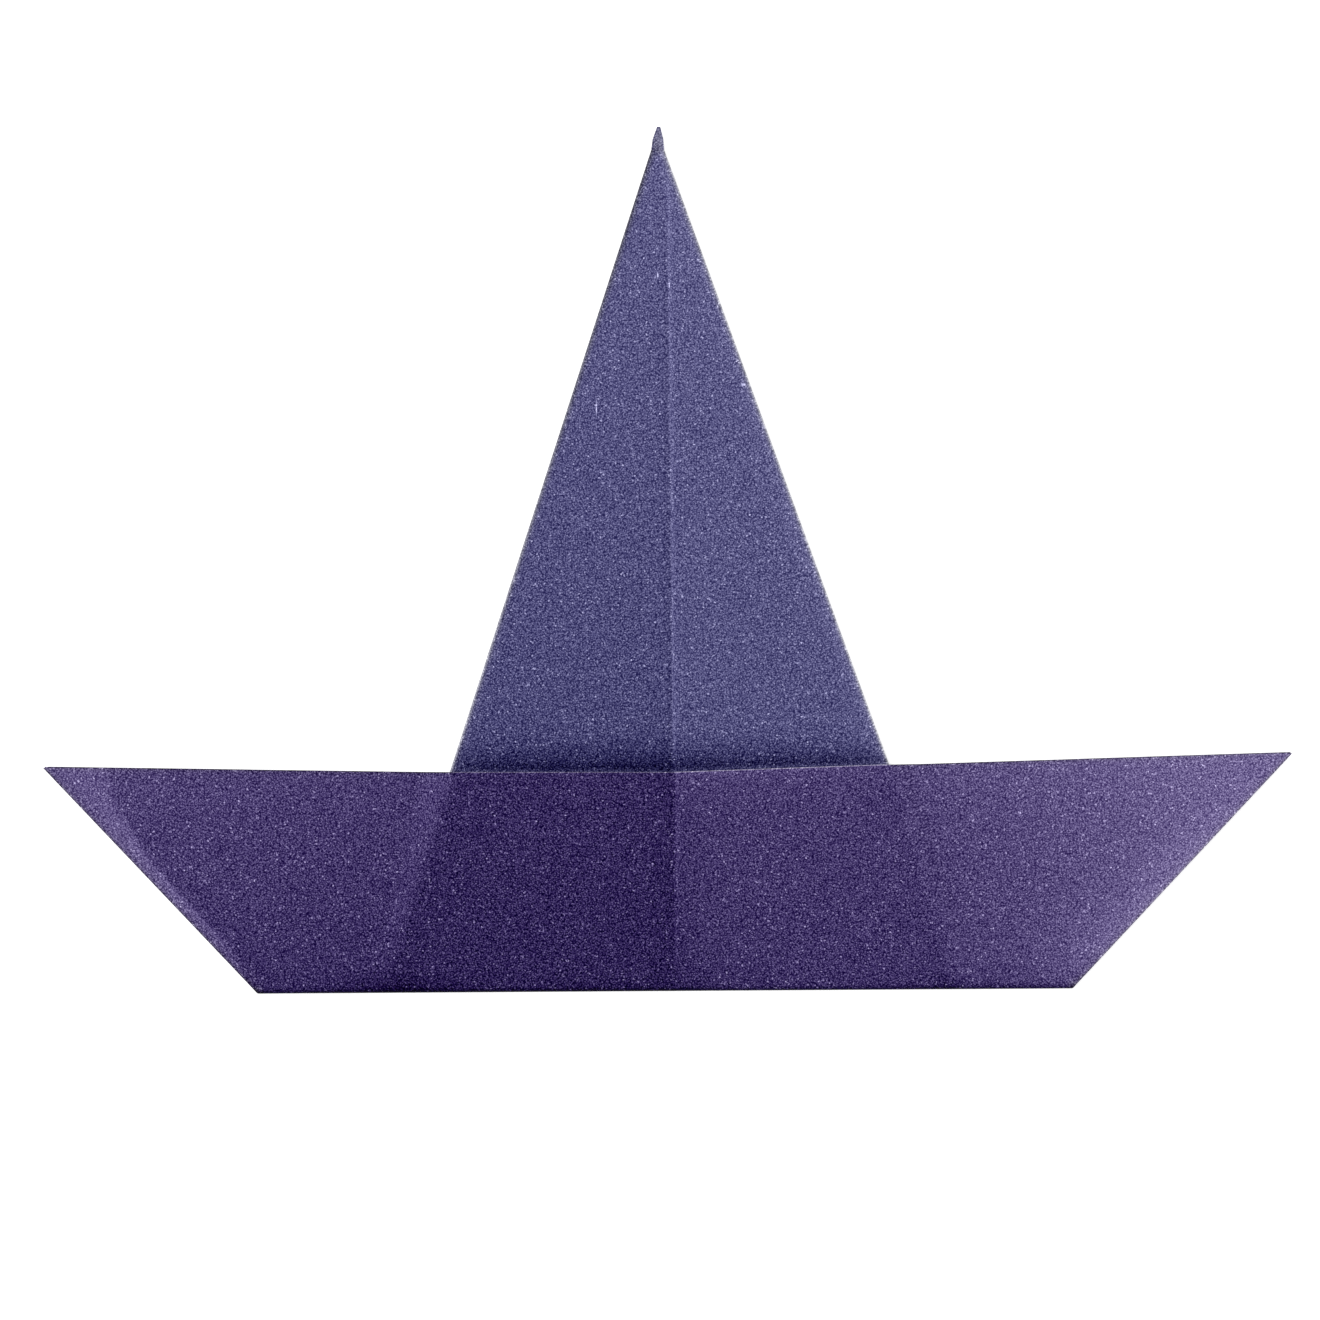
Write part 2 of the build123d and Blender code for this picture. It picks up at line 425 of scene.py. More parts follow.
# The painted shade along the bottom fold. It is darker and wider near the crown's two feet, and a little
# so over the left half between them.
bottom_loss = 5.0
bottom_loss_width = 0.6
foot_loss = 32.0
foot_loss_width = 0.9
foot_left_line = (1.0, 0.5, 6.0)
foot_right_line = (0.6, -1.5, 4.0)
foot_left_share = 0.22
foot_turn_width = 3.0
bottom_right_edge = (15.0, 1.8)

# The folds, whose outermost lines are pale in places and carry painted shade in others, and the greyer
# paper at all edges.
pale_fold_gain_left = 100.0
pale_fold_gain_right = 140.0
fold_line_turn = (-0.3, 0.3)
top_fold_shade = 95.0
bottom_fold_shade = 66.0
left_side_gain_low = 85.0
left_side_gain_high = -25.0
right_side_gain_low = 87.4
right_side_gain_high = 57.0
top_fold_breadth = 0.5
bottom_fold_breadth = 0.7
side_fold_breadth = 2.0
underside_breadth = 1 / 6
fold_grey = 0.65
brim_edge_grey = 0.6
crown_edge_grey = 0.36
edge_grey_width = 0.22


def soft_line(distance, line):
    """What a soft line of another tone adds at a distance."""
    gain, place, width = line
    return gain * bump(distance - place, width)


def soft_edge(distance, edge):
    """What an edge of another tone adds at a distance inside it."""
    gain, width = edge
    return gain * math.exp(-max(distance, 0.0) / width)


def contact_shade(x, y, from_side):
    """The painted shade that the crown loses just above the brim's top fold."""
    above = max(y - top_y(x), 0.0)
    width = mix(contact_width_left, contact_width_right, between(x, *contact_width_turn))
    shade = contact_loss * math.exp(-((above / width) ** contact_power))
    shade *= 1 - soft_edge(from_side, contact_side_edge)
    return shade * (1 - soft_line(above, contact_brim_line))


# The crown's tone, with its painted light and shade, and the painted shade just above the brim.
def crown_tone(x, y):
    rise = crown_rise(y)
    offset = x - crease_x(y)
    left = crown_left_tone + crown_left_gain * rise
    right = crown_right_tone + crown_right_gain * rise
    tone = mix(left, right, between(offset, *crown_crease_turn))
    tone += soft_line(offset, crown_painted_highlight_line) + soft_line(offset, crown_painted_shade_line)
    from_left = x - side_x(foot_left, nib_left, y)
    from_right = side_x(foot_right, nib_right, y) - x
    left_gain = mix(crown_left_edge_low, crown_left_edge_high, rise)
    right_painted_light = mix(crown_right_painted_light_low, crown_right_painted_light_high, rise)
    tone += soft_edge(from_left, (left_gain, crown_left_edge_width))
    tone += soft_edge(from_right, crown_right_edge)
    tone += soft_edge(from_right, (right_painted_light, crown_right_painted_light_width))
    return tone - contact_shade(x, y, min(from_left, from_right))


def panel_tone(x, y, down):
    """The brim's middle, in front of the crown, with painted light and shade: its left half is painted
    darker, as it faces away from the light.
    """
    offset = x - crease_x(y) + mix(panel_shift_top, panel_shift_bottom, down)
    near = math.exp(-abs(offset) / panel_crease_width)
    left = panel_left_tone - panel_left_fall * down - panel_left_crease_loss * near
    right = panel_right_tone - panel_right_fall * down * (1 + down)
    right -= near * (panel_right_crease_loss + panel_right_crease_fall * down)
    right += soft_line(offset, panel_painted_highlight_line) + soft_edge(top_y(x) - y, panel_top_painted_light_edge)
    right += soft_line(offset, panel_foot_painted_shade_line) * between(down, *panel_foot_turn)
    return mix(left, right, between(offset, *panel_crease_turn))


def left_end_tone(left, down):
    """The brim's left end without its strip: the ramp beside the crown, painted lighter, and the flat
    part, painted lighter towards the tip.
    """
    along = clamped(left / (ramp_out_left.x - left_tip.x))
    flat = end_left_tone + end_left_gain * along - end_left_fall * down
    ramp = ramp_left_tone - ramp_left_fall * down + soft_edge(down, ramp_left_top_painted_shade_edge)
    width = mix(ramp_width, ramp_foot_width, down)
    return mix(ramp, flat, between(left - width, *ramp_left_turn))


def with_end_strip(tone, x, y, down):
    """The brim's tone with the strip that bends down at the left end put into it: the strip is painted
    lighter, with a painted dark rim and painted shade along the end.
    """
    rise = 1 - down
    from_end = distance_from(bottom_left, left_tip, x, y)
    inside_strip = 1 - between(from_end - end_strip_width(y), 0.0, end_strip_softness)
    strip = end_strip_tone - end_strip_fall * (1 - between(rise, *end_strip_foot_turn))
    strip -= end_strip_tip_loss * between(rise, *end_strip_tip_turn)
    tone = mix(tone, strip, inside_strip)
    return tone + soft_edge(from_end, end_strip_painted_shade_rim_edge) + soft_edge(from_end, end_strip_shade_edge)


def right_end_tone(x, y, right, down):
    """The brim's right end, which is painted palest at its tip and along its slanted edge."""
    along = max(right, 0.0) / (right_tip.x - ramp_out_right.x)
    along = min(along, end_right_bend) + end_right_bend_share * max(along - end_right_bend, 0.0)
    tone = end_right_tone + end_right_gain * along - end_right_fall * down
    tone -= end_right_painted_middle_shade * down * (1 - down)
    from_end = -distance_from(bottom_right, right_tip, x, y)
    near_foot = end_right_foot_share * between(down, *end_right_foot_turn)
    rim = between(down, *end_right_rim_turn) * (1 - near_foot)
    return tone + rim * soft_edge(from_end, end_right_painted_highlight_edge)


def bottom_shade(x, y):
    """The painted shade that the brim loses just above its bottom fold."""
    above = y - bottom_y(x)
    from_left, from_right = x - foot_left.x, x - foot_right.x
    near_foot = soft_line(from_left, foot_left_line) + soft_line(from_right, foot_right_line)
    if x < 0:
        near_foot += foot_left_share * between(from_left, 0.0, foot_turn_width)
    near_foot = min(near_foot, 1.0)
    loss = mix(bottom_loss, foot_loss, near_foot)
    width = mix(bottom_loss_width, foot_loss_width, near_foot)
    right_end = between(from_right, 0.0, foot_turn_width)
    return soft_edge(above, (loss, width)) + right_end * soft_edge(above, bottom_right_edge)


# The brim's tone, put together from the painted light and shade of its panel, its ends and its bottom
# fold.
def brim_tone(x, y):
    down = 1 - brim_rise(x, y)
    left, right = outside_crown(x, y)
    tone = mix(panel_tone(x, y, down), left_end_tone(left, down), between(left, *left_end_turn))
    tone = with_end_strip(tone, x, y, down)
    behind_ramp = right + right_end_shift + right_end_lean * down
    half_turn = mix(right_end_turn_top, right_end_turn_bottom, down) / 2
    tone = mix(tone, right_end_tone(x, y, right, down), between(behind_ramp, -half_turn, half_turn))
    tone += soft_line(right, ramp_right_painted_shade_line) * (1 - down)
    return tone - bottom_shade(x, y)


def tinted(tone, hue, grey=0.0):
    """The red, green and blue levels of a tone. Grey takes a share of the hue away."""
    return Vector((tone, tone, tone)) + hue * (1 - grey)


def crown_colour(x, y):
    from_side = min(x - side_x(foot_left, nib_left, y), side_x(foot_right, nib_right, y) - x)
    return tinted(crown_tone(x, y), crown_hue, soft_edge(from_side, (crown_edge_grey, edge_grey_width)))


def brim_colour(x, y):
    from_left = distance_from(bottom_left, left_tip, x, y)
    from_right = -distance_from(bottom_right, right_tip, x, y)
    from_edge = min(from_left, from_right)
    if max(outside_crown(x, y)) > 0:
        from_edge = min(from_edge, top_y(x) - y + edge_grey_width)
    return tinted(brim_tone(x, y), brim_hue, soft_edge(from_edge, (brim_edge_grey, edge_grey_width)))


def plain_crown(x, y):
    return tinted(back_tone, crown_hue)


def plain_brim(x, y):
    return tinted(back_tone, brim_hue)


def fold_colour(colour, change=None, breadth=1.0, grey=0.0):
    """A fold has the colour of the layer it belongs to, and its outermost line is lighter or darker."""
    def at(x, y, share):
        base = colour(x, y)
        mean = (base.x + base.y + base.z) / 3
        fold_line = abs(math.sin(math.pi * share)) ** (1 / (breadth if share >= 0.5 else underside_breadth))
        level = change(x, y) * fold_line if change else 0.0
        return mix(base, Vector((mean, mean, mean)), grey * fold_line) + Vector((level, level, level))
    return at


def top_fold_change(x, y):
    """The brim's top fold is pale where it crosses the crown, and has painted shade beside it."""
    fold_line = pale_fold_gain_right if x > top_middle.x else pale_fold_gain_left
    return mix(fold_line, -top_fold_shade, between(max(outside_crown(x, y)), *fold_line_turn))


# The bottom fold's outermost line carries painted shade.
def bottom_fold_change(x, y):
    return -bottom_fold_shade


def left_side_change(x, y):
    return mix(left_side_gain_low, left_side_gain_high, crown_rise(y))


def right_side_change(x, y):
    return mix(right_side_gain_low, right_side_gain_high, crown_rise(y))


class Sheet:
    """Collects the layers and folds of the sheet's middle surface, before it gets its thickness."""

    def __init__(self):
        self.points = []
        self.tints = []
        self.faces = []

    def add(self, point, colour):
        self.points.append(point * MM)
        self.tints.append(colour / levels)
        return len(self.points) - 1

    def layer(self, outline, lines, height, colour):
        """A stretch of the sheet inside an outline. The lines are creases that its mesh follows."""
        plan, edges = list(outline), []
        for line in lines:
            first = len(plan)
            plan.extend(line)
            edges.extend((first + i, first + i + 1) for i in range(len(line) - 1))
        plan.extend(inner_points(outline, plan))
        loop = list(range(len(outline)))
        inside_only = 1
        flat = delaunay_2d_cdt(plan, edges, [loop], inside_only, plan_tolerance)
        index = [self.add(Vector((p.x, p.y, height(p.x, p.y))), colour(p.x, p.y)) for p in flat[0]]
        self.faces.extend([index[i] for i in face] for face in flat[2])

    def fold(self, line, lower, upper, outward_at, colour):
        """The round bend along a line, from the lower layer to the upper one."""
        rows = []
        for p in line:
            low, high = lower(p.x, p.y), upper(p.x, p.y)
            outward = outward_at(p)
            radius = (high - low) / 2
            row = []
            for i in range(fold_steps + 1):
                share = i / fold_steps
                angle = math.pi * (share - 0.5)
                place = p + outward * radius * math.cos(angle)
                point = Vector((place.x, place.y, (low + high) / 2 + radius * math.sin(angle)))
                row.append(self.add(point, colour(p.x, p.y, share)))
            rows.append(row)
        for one, two in zip(rows, rows[1:]):
            for i in range(fold_steps):
                self.faces.append([one[i], two[i], two[i + 1], one[i + 1]])


def inside(outline, p):
    """True if a point is inside an outline."""
    found = False
    for a, b in zip(outline, outline[1:] + outline[:1]):
        if (a.y > p.y) != (b.y > p.y) and p.x < mix(a.x, b.x, (p.y - a.y) / (b.y - a.y)):
            found = not found
    return found


def cell_of(p):
    """The square of the plan that a point is in."""
    return round(p.x / spacing), round(p.y / spacing)


def inner_points(outline, taken):
    """A grid of points inside an outline, clear of the points that are there already."""
    cells = {}
    for p in taken:
        cells.setdefault(cell_of(p), []).append(p)
    low = [min(p[i] for p in outline) for i in (0, 1)]
    high = [max(p[i] for p in outline) for i in (0, 1)]
    found = []
    row_step = spacing * math.sqrt(3) / 2
    for row in range(int((high[1] - low[1]) / row_step) + 1):
        for column in range(int((high[0] - low[0]) / spacing) + 1):
            shift = spacing / 2 if row % 2 else 0.0
            p = Vector((low[0] + column * spacing + shift, low[1] + row * row_step))
            cx, cy = cell_of(p)
            near = [q for i in (-1, 0, 1) for j in (-1, 0, 1) for q in cells.get((cx + i, cy + j), ())]
            if all((p - q).length > spacing * clear_share for q in near) and inside(outline, p):
                found.append(p)
    return found


def divided(stops):
    """Points along straight runs from stop to stop, no further apart than the spacing."""
    points = []
    for start, end in zip(stops, stops[1:]):
        count = max(1, math.ceil((end - start).length / spacing))
        points.extend(mix(start, end, i / count) for i in range(count))
    return points + [stops[-1]]


def relieved(start, end):
    """The two ends of a fold line that stops short of its corners."""
    relief = (end - start).normalized() * corner_relief
    return start + relief, end - relief


def at_x(line_y, x):
    """The point of the brim's top or bottom fold at one place across the hat."""
    return Vector((x, line_y(x)))


def brim_lines():
    """The creases and ramps of the brim: for each line, its bottom and its top."""
    found = []
    for offset in crease_offsets:
        foot = at_x(bottom_y, crease_x(bottom_middle.y) + offset)
        found.append((foot, at_x(top_y, crease_x(top_middle.y) + offset)))
    for share in ramp_shares:
        for side, foot, top in ((-1, foot_left, ramp_in_left), (1, foot_right, ramp_in_right)):
            foot_x = foot.x + side * ramp_foot_width * share
            found.append((at_x(bottom_y, foot_x), at_x(top_y, top.x + side * ramp_width * share)))
    return sorted(found, key=lambda line: line[0].x)


def end_line(beyond):
    """The line where the brim's left end bends down, or one beside it."""
    inward = right_of(bottom_left, left_tip)
    points = []
    for i in range(1, end_line_steps):
        p = mix(bottom_left, left_tip, i / end_line_steps)
        points.append(p + inward * (end_strip_width(p.y) + beyond))
    return [p for p in points if p.y < top_y(p.x) - end_line_gap]


def edge_lines():
    """Lines close inside the brim's edges, where its tone changes within a short way."""
    top_places = [left_tip.x + row_end_gap, *(p.x for p in line_tops), right_tip.x - row_end_gap]
    bottom_places = [bottom_left.x, *(p.x for p in line_feet), bottom_right.x]
    found = []
    for inset in edge_insets:
        found.append(divided([Vector((x, top_y(x) - inset)) for x in top_places]))
        above = bottom_inset_factor * inset
        found.append(divided([Vector((x, bottom_y(x) + above)) for x in bottom_places]))
    for start, end, side in ((bottom_left, left_tip, 1), (bottom_right, right_tip, -1)):
        gap = (end - start).normalized() * edge_end_gap
        for inset in edge_insets:
            inward = right_of(start, end) * side * inset
            found.append(divided([start + gap + inward, end - gap + inward]))
    return found


def crease_lines():
    """Lines along the crown's centre crease, which draw together towards the point."""
    found = []
    for offset in crease_offsets:
        start = Vector((crease_x(bottom_middle.y) + offset, bottom_middle.y + crease_line_start))
        end_y = crown_point.y - crease_line_end * (1 + abs(offset))
        end = Vector((crease_x(end_y) + offset * crease_line_narrowing, end_y))
        found.append(divided([start, end]))
    return found


def contact_lines():
    """Lines along the brim's top fold on the crown, where the brim's shade lies."""
    places = (ramp_in_left.x + row_end_gap, top_middle.x, ramp_in_right.x - row_end_gap)
    return [divided([Vector((x, top_y(x) + above)) for x in places]) for above in contact_rows]


def side_lines():
    """Lines close inside the crown's side folds."""
    low_y = top_middle.y - side_line_overlap
    found = []
    for foot, nib, side in ((foot_left, nib_left, 1), (foot_right, nib_right, -1)):
        for inset in side_insets:
            low = Vector((side_x(foot, nib, low_y) + side * inset, low_y))
            found.append(divided([low, nib + Vector((side * inset, -row_end_gap))]))
    return found


# The brim's lines, their ends on its two folds, and what lies between those ends.
lines = brim_lines()
line_tops = [top for foot, top in lines]
line_feet = [foot for foot, top in lines]
inner_lines = [divided(line)[1:-1] for line in lines]

# The fold lines.
top_fold = divided([strip_tip_left, *line_tops, strip_tip_right])
bottom_fold = divided([bottom_left, *line_feet, bottom_right])
base_start, base_end = relieved(foot_left, foot_right)
base_feet = [foot for foot in line_feet if base_start.x < foot.x < base_end.x]
base_fold = divided([base_start, *base_feet, base_end])
left_side = divided([nib_left, relieved(nib_left, foot_left)[1]])
right_side = divided([relieved(foot_right, nib_right)[0], nib_right])
left_end = divided(relieved(strip_tip_left, strip_foot_left))
right_end = divided(relieved(strip_foot_right, strip_tip_right))


def outward_of(line):
    """The direction square to a fold line, on its right-hand side, as a function of the place."""
    way = right_of(line[0], line[-1])
    return lambda p: way


def upward(p):
    return Vector((0, 1))


def bottom_outward(p):
    """Square to the bottom fold, but slanted at its ends, where the sheet's edges run on round it."""
    way = right_of(bottom_fold[0], bottom_fold[-1])
    for tip, end in ((left_tip, bottom_left), (right_tip, bottom_right)):
        slant = (end - tip) / (tip.y - end.y)
        way = mix(way, slant, smooth(1 - (p - end).length / slant_reach))
    return way


def add_brim(sheet):
    """The brim, the strip that is folded down behind it, and the top fold that joins them."""
    panel = [left_tip, *top_fold, right_tip]
    panel += divided([right_tip, bottom_right])[1:-1] + bottom_fold[::-1]
    panel += divided([bottom_left, left_tip])[1:-1]
    end_lines = [end_line(0.0), end_line(end_strip_softness)]
    sheet.layer(panel, inner_lines + end_lines + edge_lines(), brim_height, brim_colour)

    strip_end = divided([base_end, *[p for p in line_feet if p.x > base_end.x], strip_foot_right])
    strip_start = divided([strip_foot_left, *[p for p in line_feet if p.x < base_start.x], base_start])
    strip = [*top_fold, *right_end[::-1], *strip_end[::-1], *base_fold[::-1][1:-1], *strip_start[::-1]]
    strip += left_end[::-1]
    sheet.layer(strip, inner_lines, strip_height, plain_brim)
    colour = fold_colour(brim_colour, top_fold_change, top_fold_breadth, fold_grey)
    sheet.fold(top_fold, strip_height, brim_height, upward, colour)


def add_rear(sheet):
    """The square's corner, turned up at the back, and the bottom fold."""
    half = (bottom_right - bottom_left) / 2
    corner = (bottom_left + bottom_right) / 2 + Vector((-half.y, half.x))
    rear = [*bottom_fold, *divided([bottom_right, corner])[1:], *divided([corner, bottom_left])[1:-1]]
    sheet.layer(rear, [], rear_height, plain_brim)
    colour = fold_colour(brim_colour, bottom_fold_change, bottom_fold_breadth)
    sheet.fold(bottom_fold, rear_height, brim_height, bottom_outward, colour)


def add_crown(sheet):
    """The crown's face, and the fold at its base that joins it to the strip."""
    left_bulge = mix(nib_edge_left, point_left, nib_bulge_place) - Vector((nib_bulge_left, 0))
    right_bulge = mix(nib_edge_right, point_right, nib_bulge_place) + Vector((nib_bulge_right, 0))
    crown = [foot_left, *base_fold, foot_right, *right_side]
    crown += [nib_edge_right, right_bulge, point_right, point_left, left_bulge, nib_edge_left, *left_side]
    crown_lines = crease_lines() + contact_lines() + side_lines()
    sheet.layer(crown, crown_lines, crown_height, crown_colour)
    sheet.fold(base_fold, crown_height, strip_height, outward_of(base_fold), fold_colour(plain_brim))


def add_side_flaps(sheet):
    """The two flaps behind the crown, and the folds along its sides."""
    left_corner = Vector((crease_base_x + flap_overlap, hat_bottom + flap_corner_height))
    right_corner = Vector((crease_base_x - flap_overlap, hat_bottom + flap_corner_height))
    left_flap = [*left_side, *divided([foot_left, left_corner, nib_left])[:-1]]
    right_flap = [*right_side, *divided([nib_right, right_corner, foot_right])[1:]]
    sheet.layer(left_flap, [], left_flap_height, plain_crown)
    sheet.layer(right_flap, [], right_flap_height, plain_crown)
    for line, height, change in (
        (left_side, left_flap_height, left_side_change),
        (right_side, right_flap_height, right_side_change),
    ):
        colour = fold_colour(crown_colour, change, side_fold_breadth, fold_grey)
        sheet.fold(line, height, crown_height, outward_of(line), colour)


def add_end_flaps(sheet):
    """The strip's two ends, each folded in behind it and tucked once more."""
    colour = fold_colour(plain_brim)
    for tip, foot, end in (
        (strip_tip_left, strip_foot_left, left_end),
        (strip_tip_right, strip_foot_right, right_end),
    ):
        inner = at_x(top_y, foot.x)
        tuck_fold = divided(relieved(tip, inner))
        along_end = [tip, *end, foot] if tip.x < 0 else [tip, *end[::-1], foot]
        flap = [*along_end, *divided([foot, inner])[1:], *tuck_fold[::-1]]
        for height in (end_flap_height, end_tuck_height):
            sheet.layer(flap, [], height, plain_brim)
        sheet.fold(end, end_flap_height, strip_height, outward_of(end), colour)
        sheet.fold(tuck_fold, end_tuck_height, end_flap_height, upward, colour)


def placed(name, data):
    """A new object in the scene."""
    made = bpy.data.objects.new(name, data)
    bpy.context.scene.collection.objects.link(made)
    return made


def make_piece(name, sheet):
    """Joins the stretches of the sheet, gives it its thickness and returns the object."""
    bm = bmesh.new()
    # Each point's tint holds its tone together with its painted light and shade.
    tint = bm.verts.layers.float_vector.new("tint")
    made = []
    for point, colour in zip(sheet.points, sheet.tints):
        vertex = bm.verts.new(point)
        vertex[tint] = colour
        made.append(vertex)
    for face in sheet.faces:
        bm.faces.new([made[i] for i in face])
    bmesh.ops.remove_doubles(bm, verts=bm.verts, dist=weld_distance * MM)
    bmesh.ops.recalc_face_normals(bm, faces=bm.faces)
    mesh = bpy.data.meshes.new(name)
    bm.to_mesh(mesh)
    bm.free()
    piece = placed(name, mesh)
    thick = piece.modifiers.new("thickness", "SOLIDIFY")
    thick.thickness = paper * MM
    thick.offset = 0.0
    thick.use_even_offset = True
    graph = bpy.context.evaluated_depsgraph_get()
    solid = bpy.data.meshes.new_from_object(piece.evaluated_get(graph), depsgraph=graph)
    piece.modifiers.clear()
    piece.data = solid
    solid.name = name
    for polygon in solid.polygons:
        polygon.use_smooth = True
    solid.set_sharp_from_angle(angle=math.radians(sharp_angle))
    return piece


# The paper's pearly grain: specks per metre, and their strength in levels of 255.
fine_grain = (9000.0, 64.0)
fine_power = 1.6
dot_grain = (4000.0, 86.0)
dot_power = 3.0
dot_middle = 0.25
soft_grain = (3600.0, 4.0)
broad_grain = (800.0, 4.0)
noise_middle = 0.5
# A few specks of the grain are painted glints: painted highlights in the colour.
glint_grain = (5600.0, 82.0)
glint_share = 0.05
grain_rise = 9.0
grain_slide = (1.0, 0.7, 0.0)

# Tones turn to colours by a picture's gamma, and none is fully black.
picture_gamma = 2.2
darkest = (0.004, 0.004, 0.004)

# The paper's weak violet sheen.
paper_roughness = 0.62
paper_sheen = 0.06
sheen_tint = (0.35, 0.12, 1.0, 1.0)

# Where the crown's paper is scuffed: the middle of each pale mark, and its half width and half length.
scuff_gain = 115.0
scuff_core = 0.3
scuffs = (
    (Vector((-8.7, 18.6, 0)), Vector((0.1, 1.5))),
    (Vector((-1.2, 34.85, 0)), Vector((0.14, 0.5))),
    (Vector((0.22, 33.7, 0)), Vector((0.1, 0.55))),
    (Vector((9.2, 21.5, 0)), Vector((0.28, 0.26))),
)


def node(tree, kind, inputs=(), **settings):
    """A shader node with its settings, plain input values and links from other nodes' sockets."""
    made = tree.nodes.new(kind)
    for name, value in settings.items():
        setattr(made, name, value)
    for place, value in dict(inputs).items():
        if isinstance(value, bpy.types.NodeSocket):
            tree.links.new(value, made.inputs[place])
        else:
            made.inputs[place].default_value = value
    return made


def maths(tree, operation, one, two, **settings):
    """One operation on two numbers."""
    return node(tree, "ShaderNodeMath", {0: one, 1: two}, operation=operation, **settings).outputs[0]


def vector_maths(tree, operation, one, two):
    """One operation on two vectors."""
    return node(tree, "ShaderNodeVectorMath", {0: one, 1: two}, operation=operation).outputs[0]


def new_material(name):
    """An empty material and its node tree."""
    material = bpy.data.materials.new(name)
    material.use_nodes = True
    material.node_tree.nodes.clear()
    return material, material.node_tree


def patches(tree, place, scale):
    """The outputs of a pattern of small patches."""
    inputs = {"Vector": place, "Scale": scale}
    return node(tree, "ShaderNodeTexVoronoi", inputs, voronoi_dimensions="2D").outputs


def specks(tree, place, scale):
    """A different random number, from 0 to 1, for each small patch of the paper."""
    return node(tree, "ShaderNodeSeparateColor", {0: patches(tree, place, scale)["Color"]}).outputs[0]


def dots(tree, place, scale):
    """Small round dots, 1 in their middles, at random places."""
    near = maths(tree, "SUBTRACT", 1.0, patches(tree, place, scale)["Distance"], use_clamp=True)
    return maths(tree, "POWER", near, dot_power)


def soft_noise(tree, place, scale):
    """Soft clouds, from 0 to 1."""
    inputs = {"Vector": place, "Scale": scale}
    return node(tree, "ShaderNodeTexNoise", inputs, noise_dimensions="2D").outputs["Fac"]


def scaled(tree, value, middle, strength):
    """A value's distance from its middle, times a strength in levels of 255."""
    return maths(tree, "MULTIPLY", maths(tree, "SUBTRACT", value, middle), strength / levels)


def glints(tree, place):
    """The few specks that shine: painted glints in the colour."""
    return node(tree, "ShaderNodeMapRange", {
        "Value": specks(tree, place, glint_grain[0]),
        "From Min": 1 - glint_share,
        "From Max": 1.0,
        "To Max": glint_grain[1] / levels,
    }).outputs[0]


def scuff(tree, flat, middle, half_size):
    """A pale mark with a soft edge."""
    offset = vector_maths(tree, "SUBTRACT", flat, middle * MM)
    shares = (1 / (half_size.x * MM), 1 / (half_size.y * MM), 0.0)
    across = vector_maths(tree, "MULTIPLY", offset, shares)
    distance = node(tree, "ShaderNodeVectorMath", {0: across}, operation="LENGTH").outputs["Value"]
    return node(tree, "ShaderNodeMapRange", {
        "Value": distance,
        "From Min": scuff_core,
        "From Max": 1.0,
        "To Min": scuff_gain / levels,
        "To Max": 0.0,
    }).outputs[0]


def paper_material():
    """The sheet's tones with their painted light and shade, plus grain, painted glints and scuffs, turned
    to a colour.
    """
    material, tree = new_material("pearly_paper")
    flat = node(tree, "ShaderNodeTexCoord").outputs["Object"]
    up = node(tree, "ShaderNodeSeparateXYZ", {0: flat}).outputs["Z"]
    slide = node(tree, "ShaderNodeVectorMath", {0: grain_slide, "Scale": up}, operation="SCALE").outputs[0]
    place = vector_maths(tree, "ADD", flat, slide)
    # The tint attribute holds the sheet's tones with their painted light and shade.
    tint = node(tree, "ShaderNodeAttribute", attribute_name="tint").outputs["Vector"]

    fine_scale, fine_strength = fine_grain
    fine = maths(tree, "POWER", specks(tree, place, fine_scale), fine_power)
    fine_middle = 1 / (fine_power + 1) + grain_rise / fine_strength
    grain = scaled(tree, fine, fine_middle, fine_strength)
    for scale, strength in (soft_grain, broad_grain):
        clouds = scaled(tree, soft_noise(tree, place, scale), noise_middle, strength)
        grain = maths(tree, "ADD", grain, clouds)
    grain = maths(tree, "ADD", grain, glints(tree, place))
    dot_scale, dot_strength = dot_grain
    grain = maths(tree, "ADD", grain, scaled(tree, dots(tree, place, dot_scale), dot_middle, dot_strength))
    for middle, half_size in scuffs:
        grain = maths(tree, "ADD", grain, scuff(tree, flat, middle, half_size))

    speckled = vector_maths(tree, "ADD", tint, grain)
    kept = vector_maths(tree, "MAXIMUM", speckled, darkest)
    colour = node(tree, "ShaderNodeGamma", {"Color": kept, "Gamma": picture_gamma}).outputs[0]
    shader = node(tree, "ShaderNodeBsdfPrincipled", {
        "Base Color": colour,
        "Roughness": paper_roughness,
        "Specular IOR Level": paper_sheen,
        "Specular Tint": sheen_tint,
    })
    node(tree, "ShaderNodeOutputMaterial", {"Surface": shader.outputs[0]})
    return material


# The light: an even white sky, and a soft lamp from the upper left.
sky_strength = 0.72
lamp_share = 0.3
lamp_from = Vector((-0.75, 0.35, 1.0)).normalized()
lamp_softness = 35.0

# The floor: its size in metres, its white and the glow that only the eye sees.
floor_side = 6.0
floor_white = (0.9, 0.9, 0.9, 1.0)
floor_glow = 0.58

# The camera looks straight down on the middle of the picture.
picture_middle = Vector((-0.92, -12.2, 1.6)) * MM
picture_span = 161.25 * MM
camera_lens = 135.0
camera_sensor = 36.0


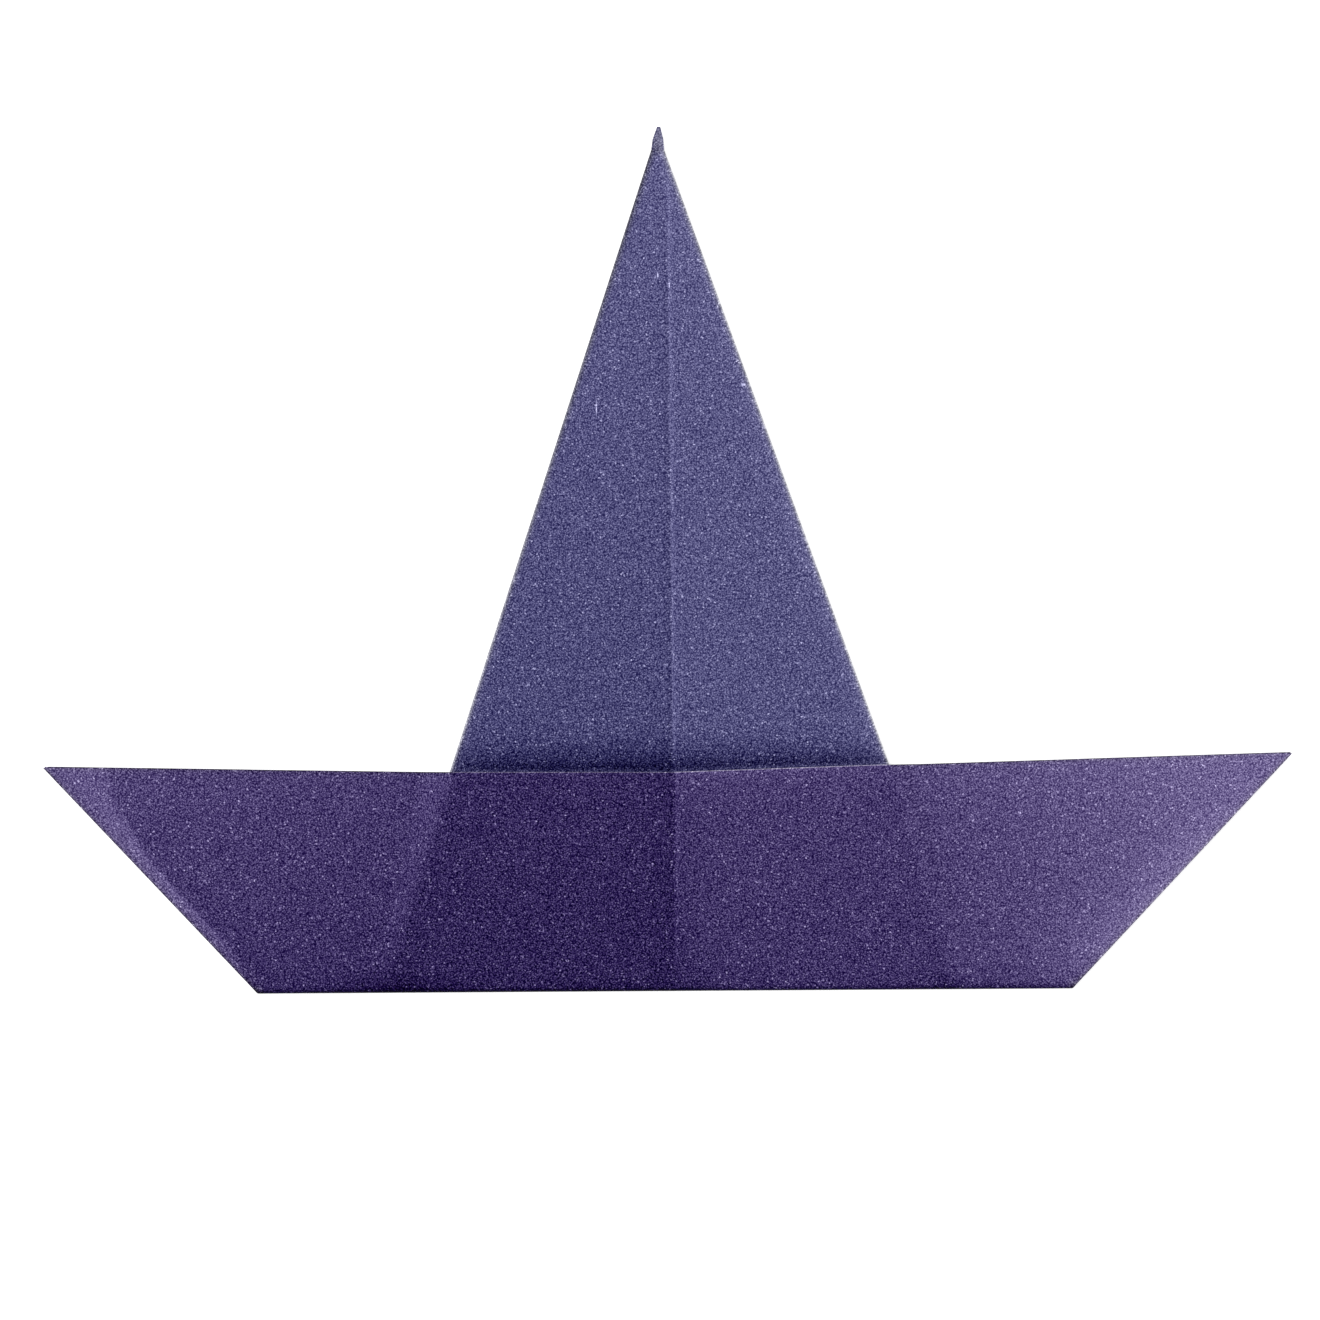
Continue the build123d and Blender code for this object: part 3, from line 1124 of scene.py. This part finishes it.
def floor_material():
    """White paper that glows a little for the eye, so that it shows white and still takes the shadow."""
    material, tree = new_material("floor")
    path = node(tree, "ShaderNodeLightPath").outputs
    seen = maths(tree, "ADD", path["Is Camera Ray"], path["Is Glossy Ray"])
    seen = maths(tree, "ADD", seen, path["Is Transmission Ray"])
    white = node(tree, "ShaderNodeBsdfDiffuse", {"Color": floor_white})
    glow = node(tree, "ShaderNodeEmission", {"Strength": maths(tree, "MULTIPLY", seen, floor_glow)})
    both = node(tree, "ShaderNodeAddShader", {0: white.outputs[0], 1: glow.outputs[0]})
    node(tree, "ShaderNodeOutputMaterial", {"Surface": both.outputs[0]})
    return material


def set_floor():
    half = floor_side / 2
    mesh = bpy.data.meshes.new("floor")
    corners = [(-half, -half, 0), (half, -half, 0), (half, half, 0), (-half, half, 0)]
    mesh.from_pydata(corners, [], [(0, 1, 2, 3)])
    mesh.materials.append(floor_material())
    placed("floor", mesh)


def set_light():
    world = bpy.data.worlds.new("sky")
    world.use_nodes = True
    background = world.node_tree.nodes["Background"]
    background.inputs["Color"].default_value = (1, 1, 1, 1)
    background.inputs["Strength"].default_value = sky_strength
    bpy.context.scene.world = world
    lamp = bpy.data.lights.new("lamp", "SUN")
    lamp.energy = lamp_share * math.pi / lamp_from.z
    lamp.angle = math.radians(lamp_softness)
    placed("lamp", lamp).rotation_euler = lamp_from.to_track_quat("Z", "Y").to_euler()


def set_camera():
    camera = bpy.data.cameras.new("camera")
    camera.lens = camera_lens
    camera.sensor_width = camera_sensor
    camera_object = placed("camera", camera)
    distance = picture_span * camera_lens / camera_sensor
    camera_object.location = picture_middle + Vector((0, 0, distance))
    bpy.context.scene.camera = camera_object


folded = Sheet()
add_brim(folded)
add_rear(folded)
add_crown(folded)
add_side_flaps(folded)
add_end_flaps(folded)

hat = make_piece("paper_hat", folded)
hat.data.materials.append(paper_material())
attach(hat, "root")
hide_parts("folded_sheet")

set_floor()
set_light()
set_camera()
bpy.context.scene.view_settings.view_transform = "Standard"
